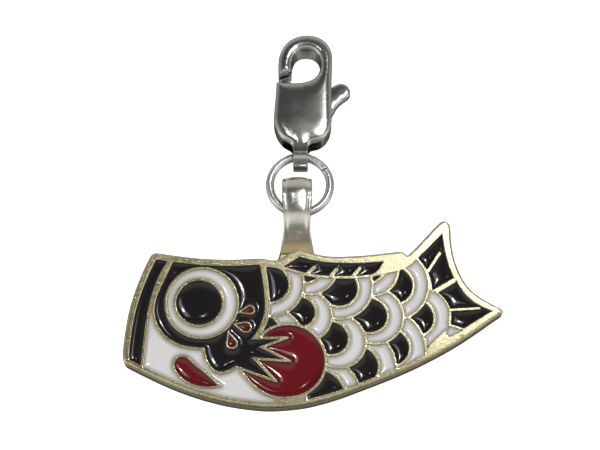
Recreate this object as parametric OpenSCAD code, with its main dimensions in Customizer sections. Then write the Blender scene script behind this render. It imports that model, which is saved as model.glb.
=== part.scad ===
// Carp streamer charm with bail, jump ring and lobster clasp.
// Lying flat on a table as it is put down: +X runs from mouth to tail, +Y from
// belly to clasp, +Z out of the enamelled face. All sizes in millimetres.

/* [Plate] */
// thickness of the die-struck plate
plate_t = 2.1; // [1.5:0.1:3]
// width of the plain raised rim
rim_w = 0.64; // [0.4:0.05:1]
// width of the raised metal lines between the colours
line_w = 0.3; // [0.2:0.02:0.5]
// depth of the struck cells below the lines
cell_d = 0.5; // [0.3:0.05:0.8]

/* [Enamel] */
// how far the enamel stays below the line tops
enamel_drop = 0.1; // [0.02:0.01:0.2]
// clearance between enamel and the wall of its cell
enamel_gap = 0.01; // [0.005:0.005:0.05]

/* [Bail] */
// width of the bail strap at its top
bail_w = 3.1; // [2:0.1:4]
// width of the bail strap at its waist
bail_waist = 2.7; // [2:0.1:4]
// thickness of the bail strap
bail_t = 0.45; // [0.3:0.05:0.8]
// thickness of the glued pad
pad_t = 0.6; // [0.4:0.05:1]
// thickness of the adhesive under the plate
glue_t = 0.1; // [0.05:0.01:0.2]

/* [Jump ring] */
// outside diameter of the ring
ring_od = 7.0; // [5:0.1:10]
// wire diameter of the ring
ring_wire = 0.84; // [0.6:0.02:1.2]
// opening between the two wire ends, in degrees
ring_slit = 1.6; // [0.5:0.1:6]

/* [Clasp] */
// thickness of the clasp over both plates
clasp_t = 3.0; // [2.4:0.1:4]
// thickness of the sheet of the hollow body
clasp_wall = 0.5; // [0.35:0.05:0.8]
// width of the tail strap
strap_w = 1.5; // [1:0.1:2.5]
// thickness of the trigger
trigger_t = 1.3; // [0.8:0.1:1.8]
// radius of the trigger's rivet
rivet_r = 0.3; // [0.2:0.02:0.5]
// wire diameter of the trigger's spring
spring_wire = 0.2; // [0.12:0.02:0.3]

/* [Hidden] */
$fn = 64;
// the plate leans on its bail, so it lies a few degrees off the table
lean = 4.1;
face_z = plate_t;
floor_z = plate_t - cell_d;
enamel_t = cell_d - enamel_drop;
half = line_w / 2;
// ring: centre and mean radius, lying level with the middle of the clasp
ring_x = -1.35;
ring_y = 23.55;
ring_z = clasp_t / 2;
ring_r = (ring_od - ring_wire) / 2;
// clasp: the eye of the tail strap sits round the far side of the ring
eye_y = ring_y + ring_r;
eye_z = clasp_t / 2;
hook_top = 40.15;
pivot = [-1.2, 30.3];
// the gate ends on an arc about the pivot, so that it clears the nose of the hook
gate_r = 5.52;
// half of the whole length, so that the origin is under the middle
mid_y = (hook_top - plate_t * sin(lean)) / 2;

// enamel shades
c_gold = [0.80, 0.72, 0.42];
c_black = [0.05, 0.05, 0.05];
c_white = [0.85, 0.85, 0.84];
c_red = [0.45, 0.05, 0.08];
c_steel = [0.62, 0.62, 0.62];

// ---- small curve kit ----
// one point of a Catmull-Rom curve between b and c
function cr(a, b, c, d, t) = 0.5 * (2 * b + (c - a) * t + (2 * a - 5 * b + 4 * c - d) * t * t
    + (3 * b - a - 3 * c + d) * t * t * t);
// smooth open curve through the points p, n steps to each stretch, last point left out
function smooth(p, n) = [for (i = [0 : len(p) - 2]) for (k = [0 : n - 1])
    cr(p[max(i - 1, 0)], p[i], p[i + 1], p[min(i + 2, len(p) - 1)], k / n)];
// outline of a drop: round end of radius r about c, tangents meeting at tip
function drop(c, r, tip) = let (d = norm(tip - c), b = atan2(tip[1] - c[1], tip[0] - c[0]),
    h = acos(r / d)) concat([tip], [for (k = [0 : 16]) c + r * [cos(b + h + k * (360 - 2 * h) / 16),
    sin(b + h + k * (360 - 2 * h) / 16)]]);

// ---- outline of the fish ----
back_line = [[-15.65, 15.78], [-13.85, 15.50], [-11.3, 15.2], [-8.3, 15.08], [-5.4, 15.2],
    [-4.1, 15.0], [-3.3, 15.18], [-2.4, 15.75], [-1.45, 16.1], [-0.4, 15.82], [1.6, 15.42],
    [4.6, 15.48], [7.6, 15.8], [8.65, 15.9], [9.05, 15.76], [9.35, 15.5]];
tail_top = [[9.35, 15.5], [9.9, 15.95], [11.2, 17.35], [12.3, 18.55], [12.8, 19.0], [13.3, 19.1],
    [13.7, 18.7], [13.8, 17.9]];
tail_edge = [[13.8, 17.9], [13.85, 16.6], [14.08, 15.2], [14.55, 13.75], [15.1, 12.65],
    [15.75, 11.85], [16.65, 11.1], [17.6, 10.53], [18.4, 10.13], [18.8, 9.8], [18.65, 9.5]];
belly = [[18.65, 9.5], [17.9, 9.02], [16.4, 7.95], [14.4, 6.62], [12.4, 5.46], [10.4, 4.42],
    [8.4, 3.5], [6.5, 2.72], [4.5, 1.95], [2.55, 1.22], [0.6, 0.63], [-1.35, 0.22], [-4.1, 0],
    [-6.2, 0.13], [-8.2, 0.43], [-10.1, 0.87], [-12.1, 1.48], [-14.1, 2.25], [-16.0, 3.12],
    [-18.0, 4.12], [-18.6, 4.5], [-18.8, 5.0]];
mouth_edge = [[-18.8, 5.0], [-18.8, 5.9], [-18.62, 7.8], [-18.3, 9.85], [-17.75, 11.9],
    [-17.0, 13.95], [-16.4, 15.3], [-16.1, 15.68], [-15.65, 15.78]];

module fish() {
    polygon(concat(smooth(back_line, 4), smooth(tail_top, 4), smooth(tail_edge, 4),
        smooth(belly, 4), smooth(mouth_edge, 4)));
}

// everything inside the plain rim, struck a touch low and right in the outline
module field(g) {
    translate([0.04, -0.09]) offset(delta = -rim_w - g) fish();
}

// ---- shapes of the cells; g is the extra clearance of the filling ----
// line that closes the mouth band, top to bottom
band_line = [[-14.25, 15.3], [-14.52, 14.7], [-15.34, 13.22], [-16.08, 10.86], [-16.51, 8.31],
    [-16.74, 5.78], [-16.85, 4.6], [-17.0, 3.0]];
// lower part of that line, where the white jaw starts
jaw_front = [[-16.12, 10.6], [-16.3, 9.6], [-16.51, 8.31], [-16.74, 5.78], [-16.85, 4.6],
    [-17.0, 3.0]];
// edge of the black head: down the front, along the cheek, round the chin
head_front = [[-14.0, 15.6], [-14.23, 14.77], [-14.8, 13.43], [-15.56, 11.68], [-15.88, 10.34],
    [-15.85, 9.3], [-15.48, 8.2], [-14.66, 7.1], [-13.56, 6.38], [-12.37, 6.03], [-10.85, 5.88]];
chin = [[-10.85, 5.88], [-10.69, 5.08], [-10.38, 4.37], [-9.88, 3.77], [-9.19, 3.47], [-8.4, 3.62],
    [-7.63, 4.07]];
teeth = [[-7.63, 4.07], [-3.7, 2.67], [-5.77, 4.92], [-2.33, 4.67], [-5.09, 6.08],
    [-2.63, 7.04]];
gill_front = [[-5.95, 6.97], [-5.6, 7.45], [-5.1, 8.4], [-4.75, 9.63], [-4.7, 10.86],
    [-4.92, 12.9], [-5.2, 14.46], [-5.36, 15.6]];
// centre line of the belly side of the red disc, left of its round part
disc_x = -2.5;
disc_y = 4.72;
disc_r = 3.7;
disc_low = [[-7.6, 4.15], [-6.84, 3.27], [-6.24, 2.57], [-5.55, 1.93], [-4.48, 1.28],
    [-3.3, 1.0], [-2.4, 1.02]];
eye_c = [-11.1, 10.58];
eye_r = 3.57;
pupil_c = [-11.37, 10.6];
pupil_r = 2.4;
leaf = [[-9.05, 2.15], [-10.15, 1.95], [-11.4, 2.05], [-12.5, 2.5], [-13.35, 3.2], [-13.85, 4.05],
    [-13.75, 4.85], [-13.2, 5.25], [-12.4, 5.15], [-11.45, 4.3], [-10.45, 3.5], [-9.7, 2.8],
    [-9.05, 2.15]];

// grown outline rounds the teeth, shrunk outline keeps them sharp
module grown(o) {
    if (o > 0) offset(r = o, $fn = 16) children();
    else offset(delta = o) children();
}

module head(o) {
    grown(o) polygon(concat(smooth(head_front, 3), smooth(chin, 3), teeth,
        smooth(gill_front, 3), [[-5.36, 15.6]]));
}

module disc(o) {
    translate([disc_x, disc_y]) circle(disc_r + o);
    offset(delta = o) polygon(concat(smooth(disc_low, 3), [[-2.4, 1.02], [-2.4, 4.5], [-5, 4.8]]));
}

// mouth band: between the rim and its closing line
module mouth_cell(g) {
    intersection() {
        field(g);
        offset(delta = -half - g) polygon(concat(smooth(band_line, 3), [[-17, 3], [-20, 3], [-20, 17],
            [-14.35, 17]]));
    }
}

module jaw_cell(g) {
    difference() {
        intersection() {
            field(g);
            offset(delta = -half - g) polygon(concat(smooth(jaw_front, 3), [[-17, 3], [-17, -1],
                [-3.75, -1], [-3.75, 3], [-8, 9], [-12, 10.6]]));
        }
        head(half + g);
        disc(half + g);
        offset(delta = g + 0.04) polygon(smooth(leaf, 3));
    }
}

module head_cell(g) {
    difference() {
        intersection() {
            field(g);
            head(-half - g);
        }
        translate(eye_c) circle(eye_r + half + g);
        for (d = drops) offset(delta = g + 0.1) polygon(drop(d[0], d[1], d[2]));
    }
}

module eye_white_cell(g) {
    difference() {
        translate(eye_c) circle(eye_r - half - g);
        translate(pupil_c) circle(pupil_r + half + g);
    }
}

module pupil_cell(g) {
    translate(pupil_c) circle(pupil_r - half - g);
}

// cheek drops: round end, its radius, point
drops = [[[-6.3, 9.88], 0.42, [-7.4, 9.62]], [[-6.68, 8.1], 0.5, [-7.85, 8.42]],
    [[-8.05, 6.48], 0.5, [-8.42, 7.6]]];
module drop_cell(i, g) {
    offset(delta = -g - 0.09) polygon(drop(drops[i][0], drops[i][1], drops[i][2]));
}

module leaf_cell(g) {
    offset(delta = -g - 0.2) polygon(smooth(leaf, 3));
}

module disc_cell(g) {
    difference() {
        disc(-half - g);
        head(half + g);
    }
}

// ---- scales: outer circle x, y, r, then inner circle x, y, r; front ones first ----
scales = [[-4.4, 12.57, 3.4, -4.31, 12.5, 1.94], [-4.4, 6.7, 3.35, -5.2, 7.65, 1.9],
    [-0.58, 14.41, 2.99, -0.95, 14.75, 2.15], [-0.79, 9.25, 2.56, -1.35, 9.64, 1.59],
    [2.52, 12.26, 3.33, 2.54, 12.08, 1.93], [2.48, 6.62, 2.64, 1.76, 6.97, 1.73],
    [0.96, 1.24, 3.59, 0.5, 1.22, 2.6], [5.68, 14.02, 2.76, 5.15, 14.65, 2.15],
    [6.09, 9.2, 2.79, 5.56, 9.27, 1.81], [3.23, 3.68, 4.88, 4.41, 4.17, 2.01],
    [7.72, 12.48, 3.73, 7.98, 12.37, 1.99], [6.96, 5.8, 4.07, 7.59, 6.03, 1.91],
    [10.9, 9.41, 2.64, 10.06, 9.05, 1.92]];

// the flank behind the gill and under the back fin, where scales can be seen
flank = concat(smooth([[-5.1, 7.8], [-4.72, 8.6], [-4.48, 9.5], [-4.42, 10.4], [-4.5, 11.4],
    [-4.68, 12.9], [-4.9, 14.45]], 3), [[-4.9, 14.45]], smooth([[-3.05, 14.2], [-1.35, 13.63],
    [0.14, 13.32], [3.13, 13.17], [5.42, 13.32], [7.12, 13.68], [8.32, 13.94], [9.43, 14.46],
    [10.14, 14.98]], 3), [[10.6, 15.4], [13, 15], [15, 10], [13.45, 7.98], [11.4, 6.15],
    [11.1, 5.3], [11, 2], [-0.7, -1], [-0.8, 1.5], [-3, 3], [-3, 6]]);

module scale_zone(k, g) {
    difference() {
        intersection() {
            field(g);
            offset(delta = -half - g) polygon(flank);
            union() {
                translate([scales[k][0], scales[k][1]]) circle(scales[k][2] - half - g);
                // the last scale runs out to a point along the belly
                if (k == 12) polygon([[11.25, 6.1], [11, 9], [13.28 - g, 8.7], [13.3 - g, 7.8]]);
            }
        }
        disc(half + g);
        if (k > 0) for (j = [0 : k - 1])
            translate([scales[j][0], scales[j][1]]) circle(scales[j][2] + half + g);
    }
}

module scale_black_cell(k, g) {
    intersection() {
        scale_zone(k, g);
        translate([scales[k][3], scales[k][4]]) circle(scales[k][5] - half - g);
    }
}

module scale_white_cell(k, g) {
    difference() {
        scale_zone(k, g);
        translate([scales[k][3], scales[k][4]]) circle(scales[k][5] + half + g);
    }
}

// raised stroke with a round end, from a to b
module stroke(a, b, w) {
    translate(a) rotate(atan2(b[1] - a[1], b[0] - a[0])) {
        translate([0, -w / 2]) square([norm(b - a), w]);
        translate([norm(b - a), 0]) circle(w / 2);
    }
}

module back_fin_cell(g) {
    difference() {
        offset(delta = -g) polygon(concat([[-2.95, 14.33], [-2.2, 14.78]],
            smooth([[-1.4, 15.32], [-0.35, 15.03], [0.65, 14.82], [2.14, 14.67], [5.14, 14.65],
            [6.99, 14.86]], 2), smooth([[6.99, 14.86], [6.63, 14.25], [6.22, 13.76], [5.6, 13.5],
            [3.83, 13.36], [1.64, 13.4], [-0.15, 13.55], [-1.85, 13.98], [-2.95, 14.33]], 2)));
        stroke([-0.9, 13.3], [0.08, 14.26], 0.4 + 2 * g);
        stroke([1.5, 13.1], [2.3, 14.02], 0.4 + 2 * g);
        stroke([3.75, 13.1], [4.6, 14.12], 0.4 + 2 * g);
    }
}

module tail_upper_cell(g) {
    difference() {
        offset(delta = -g) polygon(concat([[10.46, 15.2], [12.9, 17.7]], smooth([[12.9, 17.7],
            [13.12, 16.0], [13.5, 14.4], [13.96, 13.15]], 3), [[13.96, 13.15]], smooth([[11.82, 11.9],
            [11.7, 12.9], [11.35, 13.95], [10.46, 15.2]], 3)));
        stroke([11.2, 13.5], [12.6, 15.68], 0.34 + 2 * g);
    }
}

module tail_lower_cell(g) {
    difference() {
        offset(delta = -g) polygon(concat([[12.42, 11.62]], smooth([[14.27, 12.76], [14.75, 11.88],
            [15.42, 11.06], [16.4, 10.32], [17.66, 9.76]], 3), [[17.66, 9.76], [15.95, 8.7],
            [14.84, 8.0]], smooth([[13.57, 8.4], [13.66, 9.4], [13.45, 10.3], [13.04, 11.0],
            [12.42, 11.62]], 3)));
        stroke([13.3, 9.83], [16.4, 10.02], 0.3 + 2 * g);
    }
}

module tail_white_cell(g) {
    offset(delta = -g) polygon([[13.05, 7.6], [13.5, 8.15], [14.6, 7.75], [13.35, 7.1]]);
}

module all_cells() {
    mouth_cell(0);
    jaw_cell(0);
    head_cell(0);
    eye_white_cell(0);
    pupil_cell(0);
    leaf_cell(0);
    for (i = [0 : 2]) drop_cell(i, 0);
    disc_cell(0);
    for (k = [0 : 12]) scale_black_cell(k, 0);
    for (k = [0 : 12]) scale_white_cell(k, 0);
    back_fin_cell(0);
    tail_upper_cell(0);
    tail_lower_cell(0);
    tail_white_cell(0);
}

// from the plate's own frame (back at z = 0) to the table
module laid() {
    translate([0, -mid_y, 0]) rotate([lean, 0, 0]) children();
}

// from the table frame of the chain to the part's frame
module placed() {
    translate([0, -mid_y, 0]) children();
}

// ---- sub-parts ----
module charm_plate() {
    color(c_gold) laid() difference() {
        linear_extrude(plate_t) fish();
        translate([0, 0, floor_z]) linear_extrude(cell_d + 1) all_cells();
    }
}

// one enamel filling: its cell, less the clearance, up to just below the lines
module filling(c) {
    color(c) laid() translate([0, 0, floor_z]) linear_extrude(enamel_t) children();
}

module mouth_band_black() { filling(c_black) mouth_cell(enamel_gap); }
module jaw_white() { filling(c_white) jaw_cell(enamel_gap); }
module head_black() { filling(c_black) head_cell(enamel_gap); }
module eye_white() { filling(c_white) eye_white_cell(enamel_gap); }
module pupil_black() { filling(c_black) pupil_cell(enamel_gap); }
module mouth_leaf_red() { filling(c_red) leaf_cell(enamel_gap); }
module cheek_drop_upper_red() { filling(c_red) drop_cell(0, enamel_gap); }
module cheek_drop_middle_red() { filling(c_red) drop_cell(1, enamel_gap); }
module cheek_drop_lower_red() { filling(c_red) drop_cell(2, enamel_gap); }
module disc_red() { filling(c_red) disc_cell(enamel_gap); }
module scale_gill_black() { filling(c_black) scale_black_cell(0, enamel_gap); }
module scale_gill_white() { filling(c_white) scale_white_cell(0, enamel_gap); }
module scale_corner_black() { filling(c_black) scale_black_cell(1, enamel_gap); }
module scale_corner_white() { filling(c_white) scale_white_cell(1, enamel_gap); }
module scale_a1_black() { filling(c_black) scale_black_cell(2, enamel_gap); }
module scale_a1_white() { filling(c_white) scale_white_cell(2, enamel_gap); }
module scale_a2_black() { filling(c_black) scale_black_cell(3, enamel_gap); }
module scale_a2_white() { filling(c_white) scale_white_cell(3, enamel_gap); }
module scale_b1_black() { filling(c_black) scale_black_cell(4, enamel_gap); }
module scale_b1_white() { filling(c_white) scale_white_cell(4, enamel_gap); }
module scale_b2_black() { filling(c_black) scale_black_cell(5, enamel_gap); }
module scale_b2_white() { filling(c_white) scale_white_cell(5, enamel_gap); }
module scale_b3_black() { filling(c_black) scale_black_cell(6, enamel_gap); }
module scale_b3_white() { filling(c_white) scale_white_cell(6, enamel_gap); }
module scale_c1_black() { filling(c_black) scale_black_cell(7, enamel_gap); }
module scale_c1_white() { filling(c_white) scale_white_cell(7, enamel_gap); }
module scale_c2_black() { filling(c_black) scale_black_cell(8, enamel_gap); }
module scale_c2_white() { filling(c_white) scale_white_cell(8, enamel_gap); }
module scale_c3_black() { filling(c_black) scale_black_cell(9, enamel_gap); }
module scale_c3_white() { filling(c_white) scale_white_cell(9, enamel_gap); }
module scale_d1_black() { filling(c_black) scale_black_cell(10, enamel_gap); }
module scale_d1_white() { filling(c_white) scale_white_cell(10, enamel_gap); }
module scale_d2_black() { filling(c_black) scale_black_cell(11, enamel_gap); }
module scale_d2_white() { filling(c_white) scale_white_cell(11, enamel_gap); }
module scale_e1_black() { filling(c_black) scale_black_cell(12, enamel_gap); }
module scale_e1_white() { filling(c_white) scale_white_cell(12, enamel_gap); }
module back_fin_black() { filling(c_black) back_fin_cell(enamel_gap); }
module tail_upper_black() { filling(c_black) tail_upper_cell(enamel_gap); }
module tail_lower_black() { filling(c_black) tail_lower_cell(enamel_gap); }
module tail_white() { filling(c_white) tail_white_cell(enamel_gap); }

// bail seen from the side: y along the strap, z its height above the plate's back
bail_x = -1.65;
pad_low = 10;
pad_high = 16.2;
loop_out = [[16.2, -glue_t - pad_t], [17.2, -0.85], [18.6, -1.2], [20.2, -1.48], [21.8, -1.56],
    [23.1, -1.3], [23.9, -0.75], [24.2, 0], [23.9, 0.78], [23.1, 1.32], [21.8, 1.48], [20.2, 1.42],
    [18.9, 1.0], [17.8, 0.4], [17.0, 0.0], [16.2, -glue_t]];
loop_in = [[17.9, -0.42], [18.9, -0.86], [20.2, -1.04], [21.8, -1.11], [22.9, -0.88],
    [23.5, -0.5], [23.7, 0], [23.5, 0.52], [22.9, 0.9], [21.8, 1.03], [20.2, 0.98], [19.1, 0.6],
    [18.3, 0.1], [17.8, -0.2], [17.9, -0.42]];

module bail() {
    color(c_steel) laid() {
        intersection() {
            translate([bail_x - 5, 0, 0]) multmatrix([[0, 0, 1, 0], [1, 0, 0, 0], [0, 1, 0, 0]])
                linear_extrude(10) difference() {
                    polygon(concat([[15.2, -glue_t - pad_t]], smooth(loop_out, 3),
                        [[16.2, -glue_t], [15.2, -glue_t]]));
                    polygon(smooth(loop_in, 3));
                }
            translate([bail_x, 0, -3]) linear_extrude(6) polygon(concat(
                smooth([[2.1, 15], [1.9, 15.7], [1.55, 16.6], [bail_waist / 2, 18.5],
                [bail_waist / 2 + 0.05, 20.5], [bail_w / 2, 22.5], [bail_w / 2, 23.6],
                [bail_w / 2 - 0.15, 24.3]], 3), smooth([[0.15 - bail_w / 2, 24.3],
                [-bail_w / 2, 23.6], [-bail_w / 2, 22.5], [-bail_waist / 2 - 0.05, 20.5],
                [-bail_waist / 2, 18.5], [-1.5, 16.8], [-1.6, 15.9], [-2.1, 15]], 3), [[-2.1, 15]]));
        }
        translate([bail_x, 0, -glue_t - pad_t]) linear_extrude(pad_t) {
            translate([0, 12.6]) circle(2.6);
            translate([-2.1, 12.6]) square([4.2, 2.7]);
        }
    }
}

module bail_glue() {
    color([0.9, 0.88, 0.75]) laid() translate([bail_x, 12.6, -glue_t]) linear_extrude(glue_t)
        circle(2.2);
}

module jump_ring() {
    color(c_steel) placed() translate([ring_x, ring_y, ring_z]) rotate(33 + ring_slit / 2)
        rotate_extrude(angle = 360 - ring_slit) translate([ring_r, 0]) circle(ring_wire / 2, $fn = 32);
}

// ---- clasp ----
hook_out = [[-3.58, 35.4], [-3.62, 36.6], [-3.5, 37.8], [-3.0, 38.95], [-2.05, 39.8], [-0.7, 40.15],
    [0.6, 39.9], [1.52, 39.15], [1.98, 38.1], [2.02, 36.8], [1.95, 34.9]];
clasp_low = [[1.95, 30.4], [1.78, 29.4], [1.25, 28.45], [0.5, 27.9], [-0.4, 27.65]];
clasp_left = [[-2.2, 27.65], [-3.1, 28.2], [-3.72, 29.1], [-4.05, 30.3], [-4.0, 31.6],
    [-3.88, 33.2], [-3.8, 34.7]];
eye_edge = [[-3.8, 34.7], [-2.9, 34.62], [-1.5, 34.62], [-0.4, 34.85], [0.35, 35.35],
    [0.72, 36.1], [0.76, 37.1], [0.45, 37.9], [-0.25, 38.35], [-1.2, 38.35], [-1.85, 37.9],
    [-2.15, 37.1], [-2.22, 36.4], [-2.25, 35.5]];

module clasp_outline() {
    difference() {
        polygon(concat(smooth(hook_out, 4), [[1.95, 34.9]], smooth(clasp_low, 4), [[-0.4, 27.65]],
            smooth(clasp_left, 4), smooth(eye_edge, 4), [[-2.25, 35.5]]));
        intersection() {
            translate(pivot) circle(gate_r + 0.08);
            translate([-4.5, 35.0]) square([3, 1]);
        }
    }
}

// hollow of the body, open to the eye of the hook and at the tail end
hollow = [[-1.3 - strap_w / 2 - 1.6, 26.5], [-3.1, 28.6], [-3.45, 29.3], [-3.6, 30.3], [-3.5, 32.5],
    [-3.42, 34.0], [-3.9, 34.3], [-3.9, 35.8], [0.3, 35.8], [0.3, 35.2], [1.5, 34.6], [1.5, 30.4],
    [1.35, 29.5], [0.8, 28.6], [1.0, 26.5]];

module clasp_body() {
    color(c_steel) placed() difference() {
        union() {
            linear_extrude(clasp_t) clasp_outline();
            translate([-1.3 - strap_w / 2, 0, 0]) multmatrix([[0, 0, 1, 0], [1, 0, 0, 0],
                [0, 1, 0, 0]]) linear_extrude(strap_w) difference() {
                    union() {
                        translate([eye_y, eye_z]) circle(clasp_t / 2);
                        translate([eye_y, 0]) square([1.6, clasp_t]);
                    }
                    translate([eye_y, eye_z]) circle(clasp_t / 2 - clasp_wall);
                    translate([eye_y, clasp_wall]) square([3, clasp_t - 2 * clasp_wall]);
                }
        }
        translate([0, 0, clasp_wall]) linear_extrude(clasp_t - 2 * clasp_wall) polygon(hollow);
        // slot in the side wall for the thumb lever
        translate([1.2, 29.15, clasp_wall]) cube([1.5, 5.65, clasp_t - 2 * clasp_wall]);
        translate([pivot[0], pivot[1], -1]) cylinder(h = clasp_t + 0.75, r = rivet_r);
    }
}

trigger_arm = [[-2.05, 30.3], [-2.6, 31.5], [-3.1, 33.0], [-3.35, 34.1], [-3.47, 34.7],
    [-3.47, 35.2]];
trigger_top = [[-2.42, 35.72], [-2.3, 34.9], [-1.4, 34.3], [0.2, 34.0], [1.6, 34.35]];
thumb = [[1.9, 34.3], [2.3, 34.65], [2.95, 34.85], [3.6, 34.6], [3.9, 33.95], [3.72, 33.35],
    [3.0, 32.8], [2.45, 32.2], [2.1, 31.5], [1.7, 30.95], [0.7, 30.3], [-0.5, 29.75]];

module clasp_trigger() {
    color(c_steel) placed() translate([0, 0, (clasp_t - trigger_t) / 2]) difference() {
        union() {
            linear_extrude(trigger_t) intersection() {
                polygon(concat(smooth(trigger_arm, 3), [[-3.47, 36], [-2.45, 36]],
                    smooth(trigger_top, 3), smooth(thumb, 3), [[-0.5, 29.75]]));
                union() {
                    translate(pivot) circle(gate_r, $fn = 180);
                    translate([0, 29]) square([5, 7]);
                }
            }
            translate([pivot[0], pivot[1], 0]) cylinder(h = trigger_t, r = 0.9);
        }
        translate([pivot[0], pivot[1], -1]) cylinder(h = trigger_t + 2, r = rivet_r + 0.04);
        // pocket for the coil of the spring
        translate([pivot[0], pivot[1], 0.4]) cylinder(h = trigger_t, r = 0.72);
    }
}

module clasp_spring() {
    color(c_steel) placed() translate([pivot[0], pivot[1], 0]) {
        for (k = [0 : 3]) translate([0, 0, 1.36 + 0.19 * k])
            rotate_extrude() translate([0.55, 0]) circle(spring_wire / 2, $fn = 16);
        // free leg: out over the trigger, down to the inside of the left wall
        translate([0, -0.55, 2.27]) rotate([0, -90, 0]) cylinder(h = 2.2, r = spring_wire / 2, $fn = 16);
        translate([0, -0.55, 1.93]) cylinder(h = 0.34, r = spring_wire / 2, $fn = 16);
    }
}

module clasp_rivet() {
    color(c_steel) placed() translate([pivot[0], pivot[1], 0])
        cylinder(h = clasp_t - 0.25, r = rivet_r);
}

charm_plate();
mouth_band_black();
jaw_white();
head_black();
eye_white();
pupil_black();
mouth_leaf_red();
cheek_drop_upper_red();
cheek_drop_middle_red();
cheek_drop_lower_red();
disc_red();
scale_gill_black();
scale_gill_white();
scale_corner_black();
scale_corner_white();
scale_a1_black();
scale_a1_white();
scale_a2_black();
scale_a2_white();
scale_b1_black();
scale_b1_white();
scale_b2_black();
scale_b2_white();
scale_b3_black();
scale_b3_white();
scale_c1_black();
scale_c1_white();
scale_c2_black();
scale_c2_white();
scale_c3_black();
scale_c3_white();
scale_d1_black();
scale_d1_white();
scale_d2_black();
scale_d2_white();
scale_e1_black();
scale_e1_white();
back_fin_black();
tail_upper_black();
tail_lower_black();
tail_white();
bail();
bail_glue();
jump_ring();
clasp_body();
clasp_trigger();
clasp_spring();
clasp_rivet();
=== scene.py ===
import math

import bpy
import numpy as np
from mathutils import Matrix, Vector
from mathutils.geometry import delaunay_2d_cdt


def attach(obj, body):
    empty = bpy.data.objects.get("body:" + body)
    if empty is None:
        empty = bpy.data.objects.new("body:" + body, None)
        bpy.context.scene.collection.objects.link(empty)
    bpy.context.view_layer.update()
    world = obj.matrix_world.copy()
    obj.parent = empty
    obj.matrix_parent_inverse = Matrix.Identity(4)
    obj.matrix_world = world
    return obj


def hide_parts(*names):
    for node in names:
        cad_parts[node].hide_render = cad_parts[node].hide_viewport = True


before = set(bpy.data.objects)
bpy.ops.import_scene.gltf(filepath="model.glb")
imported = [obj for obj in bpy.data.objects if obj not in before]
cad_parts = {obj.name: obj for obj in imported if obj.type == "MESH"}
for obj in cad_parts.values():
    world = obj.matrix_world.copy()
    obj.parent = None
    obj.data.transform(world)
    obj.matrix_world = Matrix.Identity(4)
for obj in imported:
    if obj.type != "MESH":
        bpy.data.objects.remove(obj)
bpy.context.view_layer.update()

# ---- Table, camera and lights ----
# The charm lies on a white table, enamelled face up, and is seen from its belly side. One broad
# panel up and to the right whitens the flat gold there, and two small lamps are there to leave a
# bright point and a fainter one in the dished cells.
DOWNWARD = 21.0  # degrees between the camera's view and straight down
TABLE_WIDTH, TABLE_BELOW = 0.8, 0.00002

camera = bpy.data.objects.new("camera", bpy.data.cameras.new("camera"))
camera.data.lens = 108.0
camera.data.sensor_width = 36.0
camera.data.clip_start = 0.01
camera.location = (-0.00135, -0.06637, 0.17225)
camera.rotation_euler = (math.radians(DOWNWARD), 0.0, 0.0)
bpy.context.scene.collection.objects.link(camera)
bpy.context.scene.camera = camera
bpy.context.scene.view_settings.view_transform = "Standard"


class Finish:
    """One socket of a material's nodes. Sums, differences and products of it add Math nodes."""

    def __init__(self, tree, socket=None):
        self.tree = tree
        self.socket = socket

    def node(self, kind, settings=(), inputs=(), out=0):
        """A node of that kind: its settings first, then the values or links of its sockets."""
        made = self.tree.nodes.new(kind)
        for name, value in dict(settings).items():
            if name == "stops":
                ramp = made.color_ramp
                for k, (place, tint) in enumerate(value):
                    stop = ramp.elements[k] if k < 2 else ramp.elements.new(place)
                    stop.position = place
                    stop.color = (*tint, 1.0)
            else:
                setattr(made, name, value)
        for name, value in dict(inputs).items():
            if isinstance(value, Finish):
                self.tree.links.new(value.socket, made.inputs[name])
            else:
                made.inputs[name].default_value = value
        return Finish(self.tree, made.outputs[out]) if len(made.outputs) else made

    def math(self, operation, other, turned=False):
        """The Math node of that operation, with the two numbers the other way round if turned."""
        pair = (other, self) if turned else (self, other)
        return self.node("ShaderNodeMath", {"operation": operation}, {0: pair[0], 1: pair[1]})

    def __add__(self, other):
        return self.math("ADD", other)

    def __mul__(self, other):
        return self.math("MULTIPLY", other)

    def __sub__(self, other):
        return self.math("SUBTRACT", other)

    def __rsub__(self, other):
        return self.math("SUBTRACT", other, True)

    __radd__ = __add__
    __rmul__ = __mul__

    def between(self, low, high):
        """0 below low, 1 above high, and a smooth step from one to the other."""
        return self.node("ShaderNodeMapRange", {"interpolation_type": "SMOOTHSTEP"},
            {"Value": self, "From Min": low, "From Max": high})

    def tint(self, first, second):
        """The first colour where the number is 0, the second where it is 1."""
        ends = [c if isinstance(c, Finish) else (*c, 1.0) for c in (first, second)]
        return self.node("ShaderNodeMix", {"data_type": "RGBA"},
            {0: self, 6: ends[0], 7: ends[1]}, out=2)

    def noise(self, size, detail=2.0, rough=0.5):
        """Noise whose lumps are about that size in metres, from the piece's own coordinates."""
        place = self.node("ShaderNodeTexCoord", out="Object")
        return self.node("ShaderNodeTexNoise", {}, {"Vector": place, "Scale": 1.0 / size,
            "Detail": detail, "Roughness": rough}, out="Fac")


def finish(name, inputs):
    """A material with one Principled shader. inputs takes the material's Finish and gives the
    shader's sockets; a "bump" entry is (height, metres) and goes to Normal."""
    made = bpy.data.materials.new(name)
    made.use_nodes = True
    made.node_tree.nodes.clear()
    start = Finish(made.node_tree)
    values = dict(inputs(start))
    if "bump" in values:
        height, depth = values.pop("bump")
        values["Normal"] = start.node("ShaderNodeBump", {}, {"Height": height,
            "Distance": depth, "Strength": 1.0})
    shader = start.node("ShaderNodeBsdfPrincipled", {}, values)
    start.node("ShaderNodeOutputMaterial", {}, {"Surface": shader})
    return made


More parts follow.
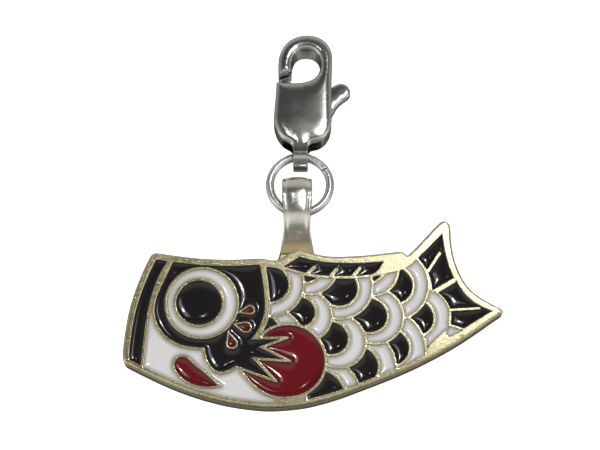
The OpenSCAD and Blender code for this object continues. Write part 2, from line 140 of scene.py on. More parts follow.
def table_finish(f):
    """White card with faint clouds, which also glows so that it keeps white in the shade."""
    cloud = f.noise(0.05)
    return {"Base Color": cloud.tint((0.90, 0.90, 0.90), (0.93, 0.93, 0.93)), "Roughness": 0.9,
        "Emission Color": cloud.tint((1.0, 1.0, 1.0), (0.99, 0.99, 0.99)),
        "Emission Strength": 0.75}


def table_top(u, v):
    """A flat square just under the charm: its width times u and v, less a half."""
    return np.stack((TABLE_WIDTH * (u - 0.5), TABLE_WIDTH * (v - 0.5), 0.0 * u - TABLE_BELOW), -1)


def grid_mesh(points):
    """Points and four-sided faces of a grid, whose rows run in u and columns in v."""
    rows, columns = points.shape[:2]
    index = np.arange(rows * columns).reshape(rows, columns)
    quads = np.stack((index[:-1, :-1], index[1:, :-1], index[1:, 1:], index[:-1, 1:]), -1)
    return points.reshape(-1, 3), quads.reshape(-1, 4)


def piece(name, points, faces, material, flat=None):
    """An object from points in metres and faces; flat marks the faces that aren't smooth."""
    mesh = bpy.data.meshes.new(name)
    mesh.from_pydata(points.tolist(), [], faces.tolist())
    mesh.polygons.foreach_set("use_smooth", np.ones(len(faces), bool) if flat is None else ~flat)
    mesh.update()
    mesh.materials.append(material)
    made = bpy.data.objects.new(name, mesh)
    bpy.context.scene.collection.objects.link(made)
    return made


u, v = np.meshgrid([0.0, 1.0], [0.0, 1.0], indexing="ij")
table = piece("table", *grid_mesh(table_top(u, v)), finish("table_white", table_finish))
table.visible_glossy = False


def lamp(name, size, place, power, aim=(0.0, -0.004, 0.001), tint=(1.0, 1.0, 1.0), gloss=True):
    """A flat lamp of that width and depth at place, facing aim."""
    light = bpy.data.lights.new(name, "AREA")
    light.shape = "RECTANGLE"
    light.size, light.size_y = size
    light.energy = power
    light.color = tint
    made = bpy.data.objects.new(name, light)
    bpy.context.scene.collection.objects.link(made)
    made.location = place
    made.rotation_euler = (Vector(place) - Vector(aim)).to_track_quat("Z", "Y").to_euler()
    made.visible_glossy = gloss


# the fill lights the whole set and shows in no gloss; the others are what the gloss shows
lamp("fill", (0.9, 0.9), (-0.1, -0.25, 0.8), 4.0, gloss=False)
lamp("panel", (0.27, 0.12), (0.165, 0.163, 0.6), 0.30)
lamp("key", (0.034, 0.034), (0.131, 0.199, 0.656), 0.50)
lamp("second", (0.020, 0.020), (-0.081, 0.212, 0.661), 0.035)
lamp("card", (0.07, 0.05), (0.004, 0.262, 0.64), 0.0026, tint=(1.0, 0.95, 0.86))

# the room: pale behind the camera, dark beyond the table, grey at the sides and dim below
room = bpy.data.worlds.new("room")
room.use_nodes = True
room.node_tree.nodes.clear()
air = Finish(room.node_tree)
way = air.node("ShaderNodeTexCoord", out="Generated")
across, along, up = (air.node("ShaderNodeSeparateXYZ", {}, {0: way}, out=k) for k in range(3))
shade = air.node("ShaderNodeValToRGB", {"stops": [
    (0.0, (0.20, 0.19, 0.17)), (1.0, (0.50, 0.50, 0.50)), (0.22, (0.28, 0.27, 0.26)),
    (0.30, (0.70, 0.69, 0.67)), (0.42, (0.62, 0.61, 0.59)), (0.50, (0.14, 0.13, 0.12)),
    (0.60, (0.12, 0.115, 0.11)), (0.68, (0.05, 0.048, 0.045)), (0.76, (0.06, 0.058, 0.055)),
    (0.86, (0.42, 0.41, 0.40))]},
    {0: along * 0.5 + 0.5})
glow = shade * (up.between(-0.25, 0.02) * 0.65 + 0.35) + (across * across) * 0.42
air.node("ShaderNodeOutputWorld", {}, {"Surface":
    air.node("ShaderNodeBackground", {}, {"Color": (1.0, 0.975, 0.94, 1.0), "Strength": glow})})
bpy.context.scene.world = room

# ---- Gold-plated fish ----
# A struck zinc plate, gold plated: a rim and raised lines stand round the sunk cells. Striking
# rounds every upper edge, and the sandy grain of the die is left on the flat metal.
LEAN = math.radians(4.1)
FACE, FLOOR = 2.1, 1.6  # heights of the metal and of the cells' floors over the plate's back
HOOK_TOP = 40.15
FOOT = (HOOK_TOP - FACE * math.sin(LEAN)) / 2
RIM_ROUND, LINE_ROUND, BACK_ROUND = 0.3, 0.09, 0.15
NO_CELL = 9.0  # a distance at which no edge is rounded
STEEPEST = 12
FLAT_BY, SNAP = 0.003, 0.0005  # how level a flat face is, and how near two of its corners meet
AT_ONCE = 3000000  # pairs of a point and an edge that are compared at one time
ROW_STEP = 0.866  # rows of a grid of even triangles, over its columns
SHARPEST = 0.45  # keeps the points inside a sharp corner from running away


def on_table(points):
    """Millimetres in the plate's own frame to metres on the table: the plate leans on its bail."""
    x, y, z = np.moveaxis(points, -1, 0)
    return np.stack((x, y * math.cos(LEAN) - z * math.sin(LEAN) - FOOT,
        y * math.sin(LEAN) + z * math.cos(LEAN)), -1) / 1000


def off_table(points):
    """The other way: metres on the table to millimetres in the plate's own frame."""
    x, y, z = np.moveaxis(points * 1000 + (0, FOOT, 0), -1, 0)
    return np.stack((x, y * math.cos(LEAN) + z * math.sin(LEAN),
        z * math.cos(LEAN) - y * math.sin(LEAN)), -1)


def lone_edges(faces, many):
    """The edges that only one of the triangles has, in that triangle's direction."""
    a, b = faces.ravel(), faces[:, [1, 2, 0]].ravel()
    lone = ~np.isin(a * many + b, b * many + a) & (a != b)
    return np.stack((a[lone], b[lone]), 1)


def outline(node, height, own_frame):
    """Starts and ends of the edges round a CAD node's flat face at that height, the face on
    their left, in millimetres in the frame that own_frame turns metres to."""
    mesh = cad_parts[node].data
    mesh.calc_loop_triangles()
    place = np.empty(3 * len(mesh.vertices), np.float32)
    mesh.vertices.foreach_get("co", place)
    place = own_frame(place.reshape(-1, 3).astype(float))
    corner = np.empty(3 * len(mesh.loop_triangles), np.int32)
    mesh.loop_triangles.foreach_get("vertices", corner)
    corner = corner.reshape(-1, 3)
    corner = corner[(abs(place[corner][:, :, 2] - height) < FLAT_BY).all(1)]
    spot, same = np.unique(np.round(place[:, :2] / SNAP).astype(int), axis=0,
        return_inverse=True)
    where = np.zeros((len(spot), 2))
    where[same.ravel()] = place[:, :2]
    edges = lone_edges(same.ravel()[corner], len(spot))
    return where[edges[:, 0]], where[edges[:, 1]]


def in_parts(points, edges):
    """The points in parts that are small enough to compare with all the edges."""
    return np.array_split(points, len(points) * len(edges) // AT_ONCE + 1)


def nearest(points, start, end):
    """The step from the nearest place on the edges to each point, and which edge that is."""
    along = end - start
    size = np.maximum((along ** 2).sum(1), 1e-12)
    steps, owners = [], []
    for some in in_parts(points, start):
        gap = some[:, None] - start
        part = np.clip((gap * along).sum(-1) / size, 0, 1)
        gap = gap - part[..., None] * along
        near = (gap ** 2).sum(-1).argmin(1)
        steps.append(gap[np.arange(len(some)), near])
        owners.append(near)
    return np.concatenate(steps), np.concatenate(owners)


def distance(points, start, end):
    """How far each point is from the nearest of the edges."""
    return np.sqrt((nearest(points, start, end)[0] ** 2).sum(1))


def unit(vectors):
    """Each vector over its own length."""
    return vectors / np.sqrt((vectors ** 2).sum(1))[:, None]


def away(points, start, end):
    """Unit vectors from the nearest place on the edges to each point, and for a point on an
    edge, to that edge's left."""
    gap, near = nearest(points, start, end)
    along = (end - start)[near]
    left = unit(np.stack((-along[:, 1], along[:, 0]), 1))
    far = np.sqrt((gap ** 2).sum(1))[:, None]
    return np.where(far > 1e-4, gap / np.maximum(far, 1e-9), left)


def inside(points, start, end):
    """Whether a ray from each point to the right crosses an odd number of the edges."""
    found = []
    rise = np.where(end[:, 1] == start[:, 1], 1e-12, end[:, 1] - start[:, 1])
    for some in in_parts(points, start):
        y = some[:, 1:]
        cut = start[:, 0] + (y - start[:, 1]) / rise * (end[:, 0] - start[:, 0])
        spans = (start[:, 1] > y) != (end[:, 1] > y)
        found.append((spans & (cut > some[:, :1])).sum(1) % 2 == 1)
    return np.concatenate(found)


def cut_up(start, end, step):
    """Cuts every edge into even bits of at most step. Gives the edges' lengths, how many bits
    each makes, and for every bit its edge and its turn on that edge."""
    size = np.sqrt(((end - start) ** 2).sum(1))
    cuts = np.maximum(1, np.ceil(size / step)).astype(int)
    edge = np.repeat(np.arange(len(cuts)), cuts)
    return size, cuts, edge, np.arange(cuts.sum()) - (np.cumsum(cuts) - cuts)[edge]


def fill(start, end, step, rings, grid):
    """Points and triangles that fill an outline. The edges are cut to step; rings of points
    follow them inside at the given distances; a triangular grid takes the rest. Gives the
    points, the triangles within, those in the holes, and the edges along the outline."""
    run = end - start
    size, cuts, edge, turn = cut_up(start, end, step)
    first = np.cumsum(cuts) - cuts
    rim = start[edge] + run[edge] * (turn / cuts[edge])[:, None]
    # which edge follows each one, by the corner that they share
    corners = np.unique(np.round(np.vstack((start, end)) / (2 * SNAP)).astype(int), axis=0,
        return_inverse=True)[1].ravel()
    begins = np.zeros(corners.max() + 1, int)
    begins[corners[:len(start)]] = np.arange(len(start))
    after = begins[corners[len(start):]]
    before = np.zeros(len(start), int)
    before[after] = np.arange(len(start))
    follow = np.where(turn == cuts[edge] - 1, first[after[edge]], np.arange(len(edge)) + 1)
    # the way inward from each point of the rim, halfway between two edges at their corner
    inward = np.stack((-run[:, 1], run[:, 0]), 1) / np.maximum(size, 1e-9)[:, None]
    lean = inward[edge]
    corner = turn == 0
    pair = inward[edge[corner]] + inward[before[edge[corner]]]
    lean[corner] = pair / np.maximum((pair ** 2).sum(1) / 2, SHARPEST)[:, None]
    # a ring drops the points that have come nearer to another edge than to their own
    bands = [rim]
    for far in rings:
        band = rim + lean * far
        band = band[distance(band, start, end) >= 0.97 * far]
        bands.append(band[inside(band, start, end)])
    low, high = rim.min(0), rim.max(0)
    rows = np.arange(low[1], high[1], grid * ROW_STEP)
    x, y = np.meshgrid(np.arange(low[0], high[0] + grid, grid), rows)
    x = x + np.where(np.arange(len(rows)) % 2, grid / 2, 0)[:, None]
    net = np.stack((x.ravel(), y.ravel()), 1)
    net = net[inside(net, start, end)]
    if len(net):
        net = net[distance(net, start, end) > rings[-1] + grid * 0.4]
    # even triangles between all of these points, none of them across an edge of the rim
    points = np.vstack((*bands, net))
    ring = np.stack((np.arange(len(rim)), follow), 1)
    out, _, faces = delaunay_2d_cdt(points.tolist(), ring.tolist(), [], 1, 1e-7, False)[:3]
    out = np.array([tuple(p) for p in out])
    faces = np.array(faces)
    within = inside(out[faces].mean(1), start, end)
    return out, faces[within], faces[~within], lone_edges(faces[within], len(out))


def fall(far, radius):
    """How far a rounded edge of that radius has dropped, at a distance in from the edge."""
    return radius - np.sqrt(np.maximum(radius ** 2 - np.maximum(radius - far, 0) ** 2, 0))


def steep(far, radius):
    """The slope of that rounded edge: its rise over its run, up to the steepest."""
    left = np.maximum(radius - far, 0)
    return np.minimum(left / np.sqrt(np.maximum(radius ** 2 - left ** 2, 1e-9)), STEEPEST)


def wall(edges, upper, lower):
    """Triangles of an upright wall under the edges, from the upper copy of the points to the
    lower one."""
    a, b = edges[:, 0], edges[:, 1]
    return np.vstack((np.stack((a + upper, a + lower, b + lower), 1),
        np.stack((a + upper, b + lower, b + upper), 1)))


def tidy(points, faces):
    """The mesh without the points that no face uses. A point's row may hold more than its
    place."""
    used, same = np.unique(faces, return_inverse=True)
    return points[used], same.reshape(faces.shape)


def gold_finish(f):
    """Plating worn from pale to brownish in spots and clouds, painted glints as pale flecks
    on the tops of the die's grain, and painted shade that darkens it low down on the sides."""
    grain = f.noise(0.00006, 2.0, 0.6)
    fleck = f.noise(0.00014, 1.0)
    cloud = f.noise(0.004, 3.0)
    spots = f.noise(0.0009, 4.0, 0.65)
    height = f.node("ShaderNodeSeparateXYZ", {}, {0: f.node("ShaderNodeTexCoord", out="Object")},
        out="Z")
    worn = (spots * 0.45 + cloud * 0.35 + fleck * 0.2).between(0.36, 0.62)
    metal = worn.tint((0.50, 0.42, 0.19), (0.76, 0.69, 0.42))
    # painted glints: pale flecks where the grain stands highest
    metal_with_painted_glints = fleck.between(0.34, 0.72).tint(metal, (0.88, 0.82, 0.60))
    # painted shade: the plating darkens low down on the sides, near the table
    low = height.between(0.0008, 0.0021)
    return {"Base Color": low.tint((0.42, 0.34, 0.18), metal_with_painted_glints),
        "Metallic": 1.0, "Roughness": grain * 0.12 + fleck * 0.08 + 0.12,
        "bump": (grain * 0.5 + fleck * 0.6, 0.000007)}


gold = finish("gold_plating", gold_finish)
start, end = outline("charm_plate", FACE, off_table)
back = outline("charm_plate", 0.0, off_table)[::-1]
spots, metal, holes, edges = fill(start, end, 0.12, (0.015, 0.045, 0.09, 0.17, 0.3), 0.3)
holes = holes[inside(spots[holes].mean(1), *back)]
outer = distance(spots, *back)
cells = distance(spots, start, end)
cells = np.where(abs(cells - outer) < 1e-4, NO_CELL, cells)
many = len(spots)
height = np.concatenate((FACE - fall(outer, RIM_ROUND) - fall(cells, LINE_ROUND),
    np.full(many, FLOOR), fall(outer, BACK_ROUND)))
outside = outer[edges[:, 0]] < 1e-3
faces = np.vstack((metal, wall(edges[~outside], 0, many), holes + many,
    wall(edges[outside], 0, 2 * many), np.vstack((metal, holes))[:, ::-1] + 2 * many))
# the metal's own normals, from the slopes of its rounded edges, so that thin lines stay even
ones = np.ones((many, 1))
outer_way = away(spots, *back)
upper = np.hstack((-(steep(outer, RIM_ROUND)[:, None] * outer_way
    + steep(cells, LINE_ROUND)[:, None] * away(spots, start, end)), ones))
floor = np.hstack((np.zeros((many, 2)), ones))
under = np.hstack((-steep(outer, BACK_ROUND)[:, None] * outer_way, -ones))
rows = np.column_stack((np.tile(spots, (3, 1)), height, np.vstack((upper, floor, under))))
rows, faces = tidy(rows, faces)
normals = unit(on_table(rows[:, 3:]) - on_table(np.zeros(3)))
fish = piece("gold_fish", on_table(rows[:, :3]), faces, gold)
fish.data.normals_split_custom_set_from_vertices(normals.tolist())
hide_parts("charm_plate")
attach(fish, "charm")

# ---- Enamel ----
# Soft enamel is laid wet into each cell and baked. It clings to the metal and sinks in the
# middle, so every filling is dished and glossy, with one bright point where the dish faces a lamp.
TOP, SAG, REACH = 1.995, 0.24, 0.55  # height at the metal, depth of the dish, and its reach
WET_STEP = 0.03
CELL_TOP = 2.0  # height of the flat fillings that these ones replace


def wet_distance(points, start, end):
    """A smooth distance from the outline: the square root of 2 over the sum, along the outline,
    of each bit's length over the cube of how far away it is. It has no creases."""
    size, cuts, edge, turn = cut_up(start, end, WET_STEP)
    rim = start[edge] + (end - start)[edge] * ((turn + 0.5) / cuts[edge])[:, None]
    bit = (size / cuts)[edge]
    pull = [(bit / np.maximum(((some[:, None] - rim) ** 2).sum(-1), 1e-6) ** 1.5).sum(1)
        for some in in_parts(points, rim)]
    return np.sqrt(2 / np.concatenate(pull))


def two_sided(spots, within, edges, upper, lower):
    """A closed plate: the triangles at the upper heights, the same turned over at the lower
    heights, and an upright wall between them."""
    many = len(spots)
    points = np.column_stack((np.tile(spots, (2, 1)), np.concatenate((upper, lower))))
    return points, np.vstack((within, wall(edges, 0, many), within[:, ::-1] + many))


def enamel(name, lump, tones, gloss, painted_edge_shade=None, reach=0.0):
    """A glassy enamel: clouds of that lump between two tones, and a darker tone near the metal,
    painted shade that fades over reach. Its roughness is fine dust times the first number of
    gloss, plus the second."""
    def inputs(f):
        tone = f.noise(lump, 2.0).tint(*tones)
        # painted shade: the filling darkens towards the metal walls
        if painted_edge_shade:
            depth = f.node("ShaderNodeAttribute", {"attribute_name": "from_metal"}, out="Fac")
            tone = depth.between(0.0, reach).tint(painted_edge_shade, tone)
        return {"Base Color": tone, "Roughness": f.noise(0.00012, 2.0) * gloss[0] + gloss[1],
            "IOR": 1.52, "bump": (f.noise(0.0007, 1.0), 0.000004)}
    return finish(name, inputs)


# the third tone of white and red is painted shade near the metal walls
enamels = {
    "black": enamel("black_enamel", 0.003, ((0.006, 0.005, 0.006), (0.012, 0.010, 0.011)),
        (0.05, 0.06)),
    "white": enamel("white_enamel", 0.0025, ((0.66, 0.66, 0.66), (0.73, 0.73, 0.73)),
        (0.06, 0.10), (0.40, 0.39, 0.36), 0.42),
    "red": enamel("red_enamel", 0.002, ((0.12, 0.003, 0.006), (0.16, 0.004, 0.009)),
        (0.05, 0.07), (0.075, 0.002, 0.004), 0.5)}
for node in sorted(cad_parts):
    shade = node.rsplit("_", 1)[-1]
    if shade not in enamels:
        continue
    start, end = outline(node, CELL_TOP, off_table)
    spots, within, _, edges = fill(start, end, 0.1, (0.035, 0.08), 0.11)
    far = wet_distance(spots, start, end)
    far[np.unique(edges)] = 0.0
    points, faces = two_sided(spots, within, edges, TOP - SAG * (1 - np.exp(-far / REACH)),
        np.full(len(spots), FLOOR))
    flat = np.arange(len(faces)) >= len(within)
    rows, faces = tidy(np.column_stack((points, np.tile(far, 2))), faces)
    filling = piece("enamel_" + node, on_table(rows[:, :3]), faces, enamels[shade], flat)
    depth = filling.data.attributes.new("from_metal", "FLOAT", "POINT")
    depth.data.foreach_set("value", rows[:, 3].astype(np.float32))
    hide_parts(node)
    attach(filling, "charm")
    "enamel_" + shade

# ---- Bail ----
# A stamped silver-coloured loop, one strip bent over and back, with a convex panel between two
# narrow rims. Its round pad is glued to the back of the plate, and the jump ring runs through it.
BAIL_X = -1.65
HALF_STRIP = 0.22  # half the thickness of the strip
RELIEF_IN = 0.38  # how far the rims keep the convex panel from the strip's edges
PANEL_RISE = 0.19
PAD_R, PAD_Y, PAD_NECK, PAD_END = 2.6, 12.6, 2.1, 15.3
PAD_TOP, PAD_UNDER, PAD_ROUND = -0.1, -0.7, 0.15


def bend(points, many):
    """A smooth line through the points, at many even steps: cubic pieces whose slope at a point
    is half the step between its neighbours."""
    points = np.array(points, float)
    slope = np.gradient(points, axis=0)
    place = np.linspace(0, len(points) - 1 - 1e-9, many)
    k = place.astype(int)
    t = (place - k)[:, None]
    return ((2 * t ** 3 - 3 * t ** 2 + 1) * points[k] + (t ** 3 - 2 * t ** 2 + t) * slope[k]
        + (3 * t ** 2 - 2 * t ** 3) * points[k + 1] + (t ** 3 - t ** 2) * slope[k + 1])


# places round a strip, from -1 to 1 over its outer face and back under it, close at the edges
OVER = 41
there = -np.cos(np.linspace(0, 1, OVER) * np.pi)
ROUND_STRIP = np.concatenate((there, -there[1:-1]))


def strap(path, half_width, out_of, half_thick):
    """A strip bent along a path of (y, z), its width along x. Its outer face is out_of over the
    middle line and its inner face half_thick under it; over the last tenth of the half width
    both fall to the middle line as a quarter of a circle does."""
    tangent = unit(np.gradient(path, axis=0))
    outward = np.stack((tangent[:, 1], -tangent[:, 0]), 1)
    edge = np.sqrt(np.maximum(1 - np.clip((abs(ROUND_STRIP) - 0.90) / 0.10, 0, 1) ** 2, 0))
    lift = np.where(np.arange(len(ROUND_STRIP)) < OVER, out_of * edge, -half_thick * edge)
    x = half_width[:, None] * ROUND_STRIP
    y = path[:, :1] + outward[:, :1] * lift
    z = path[:, 1:] + outward[:, 1:] * lift
    return np.stack((x, y, z), -1)


def closed_tube(rings):
    """Points and triangles of a tube of rings, closed at both ends round a middle point."""
    rows, columns = rings.shape[:2]
    index = np.arange(rows * columns).reshape(rows, columns)
    near, ahead = index, np.roll(index, -1, 1)
    side = np.concatenate((np.stack((near[:-1], near[1:], ahead[1:]), -1).reshape(-1, 3),
        np.stack((near[:-1], ahead[1:], ahead[:-1]), -1).reshape(-1, 3)))
    first, last = rows * columns, rows * columns + 1
    caps = np.concatenate((
        np.stack((np.full(columns, first), near[0], ahead[0]), -1),
        np.stack((np.full(columns, last), ahead[-1], near[-1]), -1)))
    points = np.vstack((rings.reshape(-1, 3), rings[0].mean(0), rings[-1].mean(0)))
    return points, np.vstack((side, caps))


def outward_facing(points, faces):
    """The same faces turned round if the volume that they enclose comes out negative."""
    a, b, c = points[faces[:, 0]], points[faces[:, 1]], points[faces[:, 2]]
    return faces if (a * np.cross(b, c)).sum() > 0 else faces[:, ::-1]


def silver_finish(f):
    """Silver with drawing marks and rubbed patches, and a painted reflection of the gold plate,
    brownish, low on its foot.
    """
    drawn = f.noise(0.0003, 3.0)
    rub = f.noise(0.0011, 3.0)
    foot = f.node("ShaderNodeSeparateXYZ", {}, {0: f.node("ShaderNodeTexCoord", out="Object")},
        out="Y")
    # painted reflection: the foot turns brownish gold, as if the plate showed in it
    painted_plate_reflection = 1.0 - (foot + (rub - 0.5) * 0.0016).between(-0.0029, -0.0017)
    tone = painted_plate_reflection.tint(rub.tint((0.82, 0.79, 0.73), (0.92, 0.90, 0.85)), (0.56, 0.48, 0.28))
    return {"Base Color": tone, "Metallic": 1.0,
        "Roughness": drawn * 0.10 + rub * 0.08 + painted_plate_reflection * 0.06 + 0.09,
        "bump": (drawn, 0.000006)}


silver = finish("bail_silver", silver_finish)
path = bend([[14.9, -0.40], [16.2, -0.44], [17.4, -0.62], [18.7, -0.98], [20.2, -1.25],
    [21.8, -1.33], [22.95, -1.12], [23.66, -0.62], [23.93, 0], [23.66, 0.66], [22.95, 1.10],
    [21.8, 1.24], [20.2, 1.18], [18.95, 0.78], [18.0, 0.27], [17.2, -0.08], [16.3, -0.33]], 160)
half = np.interp(path[:, 0], [15, 15.7, 16.6, 18.5, 20.5, 22.5, 23.5, 24.3],
    [2.1, 1.95, 1.68, 1.34, 1.38, 1.55, 1.55, 1.5])
reach = abs(ROUND_STRIP) * half[:, None]
brink = half[:, None] - RELIEF_IN
dome = PANEL_RISE * np.sqrt(np.clip(1 - 0.97 * (reach / brink) ** 2, 0, 1))
relief = np.where(reach < brink, dome, np.interp(reach - brink, [0, 0.04, 0.12, 0.3],
    [0.03, -0.06, 0.06, 0.05]))
# the relief shows on the outer run alone, and comes and goes in smooth steps along the path
along = np.linspace(0, 1, len(path))[:, None]
shown = np.clip((along - 0.46) / 0.06, 0, 1) * np.clip((0.87 - along) / 0.07, 0, 1)
shown = shown ** 2 * (3 - 2 * shown)
rings = strap(path, half, HALF_STRIP + shown * relief, HALF_STRIP)
rings[..., 0] += BAIL_X
loop_points, loop_faces = closed_tube(rings)

# the pad: a disc with a short square neck from 36 degrees up, its lower edge rounded
around = np.radians(np.linspace(144, 396, 60))
rim = np.vstack((np.stack((PAD_R * np.cos(around), PAD_Y + PAD_R * np.sin(around)), 1),
    [[PAD_NECK, PAD_END], [-PAD_NECK, PAD_END]]))
rim_ends = np.roll(rim, -1, 0)
spots, within, _, edges = fill(rim, rim_ends, 0.15, (0.03, 0.08, 0.15), 0.5)
pad_points, pad_faces = two_sided(spots + (BAIL_X, 0), within, edges,
    np.full(len(spots), PAD_TOP), PAD_UNDER + fall(distance(spots, rim, rim_ends), PAD_ROUND))
points = np.vstack((loop_points, pad_points))
faces = np.vstack((outward_facing(loop_points, loop_faces), pad_faces + len(loop_points)))
bail = piece("bail_loop", on_table(points), faces, silver)
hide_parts("bail")
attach(bail, "charm")


def glue_finish(f):
    """Clouded yellowish adhesive, a narrow line of which shows round the pad."""
    cloud = f.noise(0.0008, 2.0)
    return {"Base Color": cloud.tint((0.62, 0.56, 0.40), (0.75, 0.70, 0.55)),
        "Roughness": cloud * 0.2 + 0.35, "bump": (f.noise(0.0004), 0.00003)}


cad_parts["bail_glue"].data.materials.clear()
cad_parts["bail_glue"].data.materials.append(finish("adhesive", glue_finish))

# ---- Jump ring ----
# A ring of polished steel wire 0.84 mm thick, cut across at the upper right and pressed shut.
RING_R, WIRE_R = 3.08, 0.42
RING_AT = (-1.35, 23.55, 1.5)
CUT, HALF_GAP = 33.0, 0.8  # degrees


def level_to_table(points):
    """Millimetres in the level frame of the ring and the clasp to metres on the table."""
    return (points - (0, FOOT, 0)) / 1000


def wire_ring(turn, round_wire, shrink):
    """A circle of wire: its middle line is one circle, its section a smaller one, which shrinks
    over the last steps to the rounded cut."""
    near = RING_R + WIRE_R * shrink * np.cos(round_wire)
    return np.stack((near * np.cos(turn), near * np.sin(turn),
        WIRE_R * shrink * np.sin(round_wire)), -1)


def ring_finish(f):
    """Bright steel with soft worn patches."""
    wear = f.noise(0.0007, 3.0, 0.6)
    return {"Base Color": wear.tint((0.74, 0.73, 0.72), (0.86, 0.85, 0.84)), "Metallic": 1.0,
        "Roughness": wear * 0.12 + 0.16, "bump": (wear, 0.000008)}


rounding = HALF_GAP + np.array([0.0, 0.0, 0.15, 0.6])
turn = np.radians(CUT + np.concatenate((rounding, np.linspace(3, 357, 150),
    360 - rounding[::-1])))
cut_end = np.array([0.55, 0.86, 0.97, 1.0])
small = np.concatenate((cut_end, np.ones(150), cut_end[::-1]))
a, b = np.meshgrid(turn, np.linspace(0, 2 * np.pi, 33)[:-1], indexing="ij")
points, faces = closed_tube(wire_ring(a, b, small[:, None]))
ring = piece("split_ring", level_to_table(points + RING_AT), outward_facing(points, faces),
    finish("ring_steel", ring_finish))
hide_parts("jump_ring")
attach(ring, "jump_ring")

# ---- Clasp ----
# A lobster clasp cast in one and tumbled bright: two domed plates with a hollow between them for
# the trigger, and a tail strap bent into an eye round the ring.
CLASP_THICK = 3.0
HOLLOW_LOW, HOLLOW_HIGH = 0.5, 2.5
TAIL_CUT = 27.88  # the drawn tail is left off under this line, and a round-edged neck put there
TAIL_X = -1.3
TAIL_HALF, TAIL_LIFT = 0.75, 0.25  # half the strap's width and half its thickness
EYE_R, EYE_Y = 1.25, 26.63
PIN_R, PIN_AT = 0.3, (-1.2, 30.3)


def table_to_level(points):
    """The other way: metres on the table to millimetres in the level frame."""
    return points * 1000 + (0, FOOT, 0)


def steel_finish(f):
    """Polished cast steel with faint wear."""
    wear = f.noise(0.0009, 4.0, 0.6)
    fine = f.noise(0.00015, 2.0)
    return {"Base Color": wear.tint((0.60, 0.59, 0.57), (0.70, 0.69, 0.67)), "Metallic": 1.0,
        "Roughness": wear * 0.06 + fine * 0.05 + 0.07, "bump": (wear, 0.000008)}


def slab(start, end, low, high, radius, dome, step=0.12):
    """A plate with rounded edges between two heights. Its faces sink towards the edge by dome
    times the exponential of minus the distance over 0.8, and round off over radius."""
    rings = tuple(radius * np.array([0.02, 0.08, 0.2, 0.4, 0.68, 1.0]))
    spots, within, _, edges = fill(start, end, step, rings, 0.3)
    far = distance(spots, start, end)
    drop = dome * np.exp(-far / 0.8) + fall(far, radius)
    return two_sided(spots, within, edges, high - drop, low + drop)


steel = finish("polished_steel", steel_finish)


def cut_out(name, points, faces, tools):
    """The mesh less the upright prisms, by the exact Boolean; each prism is (corners, low,
    high), its corners turning left."""
    body = piece(name, points, faces, steel)
    for corners, low, high in tools:
        n = len(corners)
        k = np.arange(n)
        prism = np.vstack((np.column_stack((corners, np.full(n, low))),
            np.column_stack((corners, np.full(n, high)))))
        sides = np.stack((k, np.roll(k, -1), np.roll(k, -1) + n, k + n), 1)
        mesh = bpy.data.meshes.new("cutter")
        mesh.from_pydata(prism.tolist(), [], [*sides.tolist(), (k + n).tolist(),
            k[::-1].tolist()])
        tool = bpy.data.objects.new("cutter", mesh)
        bpy.context.scene.collection.objects.link(tool)
        cut = body.modifiers.new("cut", "BOOLEAN")
        cut.object, cut.solver, cut.operation = tool, "EXACT", "DIFFERENCE"
        done = bpy.data.meshes.new_from_object(body.evaluated_get(
            bpy.context.evaluated_depsgraph_get()))
        body.modifiers.clear()
        body.data = done
        bpy.data.objects.remove(tool)
    return body


def crease(made, degrees):
    """Marks the edges sharp where the faces on their two sides turn by more than the angle."""
    mesh = made.data
    mesh.polygons.foreach_set("use_smooth", np.ones(len(mesh.polygons), bool))
    edge = np.empty(len(mesh.loops), np.int32)
    mesh.loops.foreach_get("edge_index", edge)
    sizes = np.empty(len(mesh.polygons), np.int32)
    mesh.polygons.foreach_get("loop_total", sizes)
    owner = np.repeat(np.arange(len(sizes)), sizes)
    normal = np.empty(3 * len(sizes), np.float32)
    mesh.polygons.foreach_get("normal", normal)
    normal = normal.reshape(-1, 3)
    order = np.argsort(edge, kind="stable")
    edge, owner = edge[order], owner[order]
    pair = np.flatnonzero(edge[:-1] == edge[1:])
    turn = (normal[owner[pair]] * normal[owner[pair + 1]]).sum(1)
    sharp = np.zeros(len(mesh.edges), bool)
    sharp[edge[pair[turn < math.cos(math.radians(degrees))]]] = True
    mark = mesh.attributes.get("sharp_edge") or mesh.attributes.new("sharp_edge", "BOOLEAN", "EDGE")
    mark.data.foreach_set("value", sharp)
    mesh.update()


start, end = outline("clasp_body", CLASP_THICK, table_to_level)
kept = (start + end)[:, 1] / 2 > TAIL_CUT
start, end = start[kept], end[kept]
# the lowest points left of the tail and right of it; 9 mm puts the other side out of reach
left = end[np.argmin(end[:, 1] + 9 * (end[:, 0] > TAIL_X))]
right = start[np.argmin(start[:, 1] + 9 * (start[:, 0] < TAIL_X))]
neck = np.vstack((left, [[-2.38, 27.74], [-2.16, 27.5], [-2.07, 27.1], [-0.53, 27.1],
    [-0.44, 27.5], [-0.22, 27.74]], right))
start, end = np.vstack((start, neck[:-1])), np.vstack((end, neck[1:]))
points, faces = slab(start, end, 0.0, CLASP_THICK, 0.42, 0.16)
hollow = np.array([[0.9, 26.0], [0.9, 27.6], [0.8, 28.6], [1.35, 29.5], [1.5, 30.4], [1.5, 34.6],
    [0.3, 35.2], [0.3, 35.45], [-0.2, 35.3], [-1.5, 35.2], [-2.9, 35.2], [-3.9, 35.2],
    [-3.9, 34.3], [-3.42, 34.0], [-3.5, 32.5], [-3.6, 30.3], [-3.45, 29.3], [-3.1, 28.6],
    [-3.3, 27.6], [-3.3, 26.0]])
thumb_slot = np.array([[1.2, 29.15], [2.7, 29.15], [2.7, 34.8], [1.2, 34.8]])
turn = np.radians(np.linspace(0, 360, 25)[:-1])
pin_hole = PIN_AT + PIN_R * np.stack((np.cos(turn), np.sin(turn)), 1)
cast = cut_out("clasp_cast", points, faces, [(hollow, HOLLOW_LOW, HOLLOW_HIGH),
    (thumb_slot, HOLLOW_LOW, HOLLOW_HIGH), (pin_hole, -1.0, 2.75)])
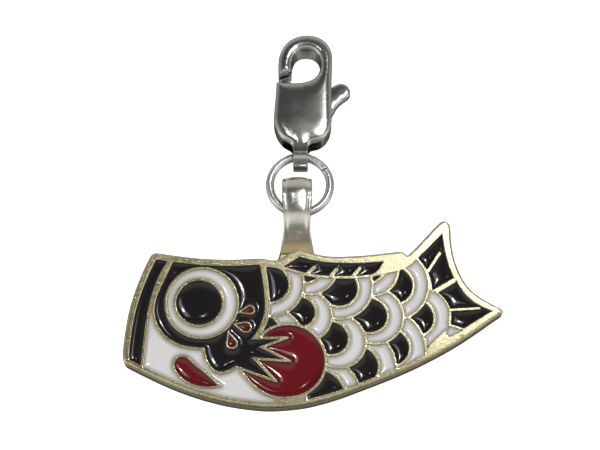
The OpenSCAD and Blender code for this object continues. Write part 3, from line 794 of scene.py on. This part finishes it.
# the cuts were made in millimetres, so what is left of the body goes to metres here
place = np.empty(3 * len(cast.data.vertices), np.float32)
cast.data.vertices.foreach_get("co", place)
place = level_to_table(place.reshape(-1, 3).astype(float))
cast.data.vertices.foreach_set("co", place.ravel())
crease(cast, 38)
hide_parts("clasp_body")
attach(cast, "clasp")

# the tail strap: out of the front plate, round the ring, and into the back plate
arc = np.radians(np.linspace(90, 270, 40))
path = np.vstack((
    bend([[29.2, 2.52], [28.2, 2.61], [27.6, 2.68], [27.1, 2.73], [26.75, 2.75]], 16),
    np.column_stack((EYE_Y + EYE_R * np.cos(arc), RING_AT[2] + EYE_R * np.sin(arc))),
    np.column_stack((np.linspace(26.75, 28.9, 14), np.full(14, RING_AT[2] - EYE_R)))))
rings = strap(path, np.full(len(path), TAIL_HALF), np.full((len(path), 1), TAIL_LIFT), TAIL_LIFT)
rings[..., 0] += TAIL_X
points, faces = closed_tube(rings)
tail = piece("clasp_tail", level_to_table(points), outward_facing(points, faces), steel)
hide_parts("clasp_body")
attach(tail, "clasp")

# ---- Trigger, its spring and its rivet ----
# The trigger is a smaller casting that turns on a rivet between the plates. Its gate closes the
# hook, and its thumb lever stands out at the right.
TRIGGER_LOW, TRIGGER_HIGH = 0.85, 2.15

start, end = outline("clasp_trigger", TRIGGER_HIGH, table_to_level)
points, faces = slab(start, end, TRIGGER_LOW, TRIGGER_HIGH, 0.30, 0.03, 0.1)
trigger = piece("trigger_cast", level_to_table(points), faces, steel)
crease(trigger, 50)
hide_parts("clasp_trigger")
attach(trigger, "trigger")


def wire_finish(f):
    """Dull drawn wire, for the coil spring and the rivet."""
    drawn = f.noise(0.0002, 2.0)
    return {"Base Color": drawn.tint((0.42, 0.42, 0.41), (0.55, 0.55, 0.54)), "Metallic": 1.0,
        "Roughness": drawn * 0.1 + 0.2, "bump": (drawn, 0.000004)}


spring_steel = finish("spring_wire", wire_finish)
for node in ("clasp_spring", "clasp_rivet"):
    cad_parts[node].data.materials.clear()
    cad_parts[node].data.materials.append(spring_steel)
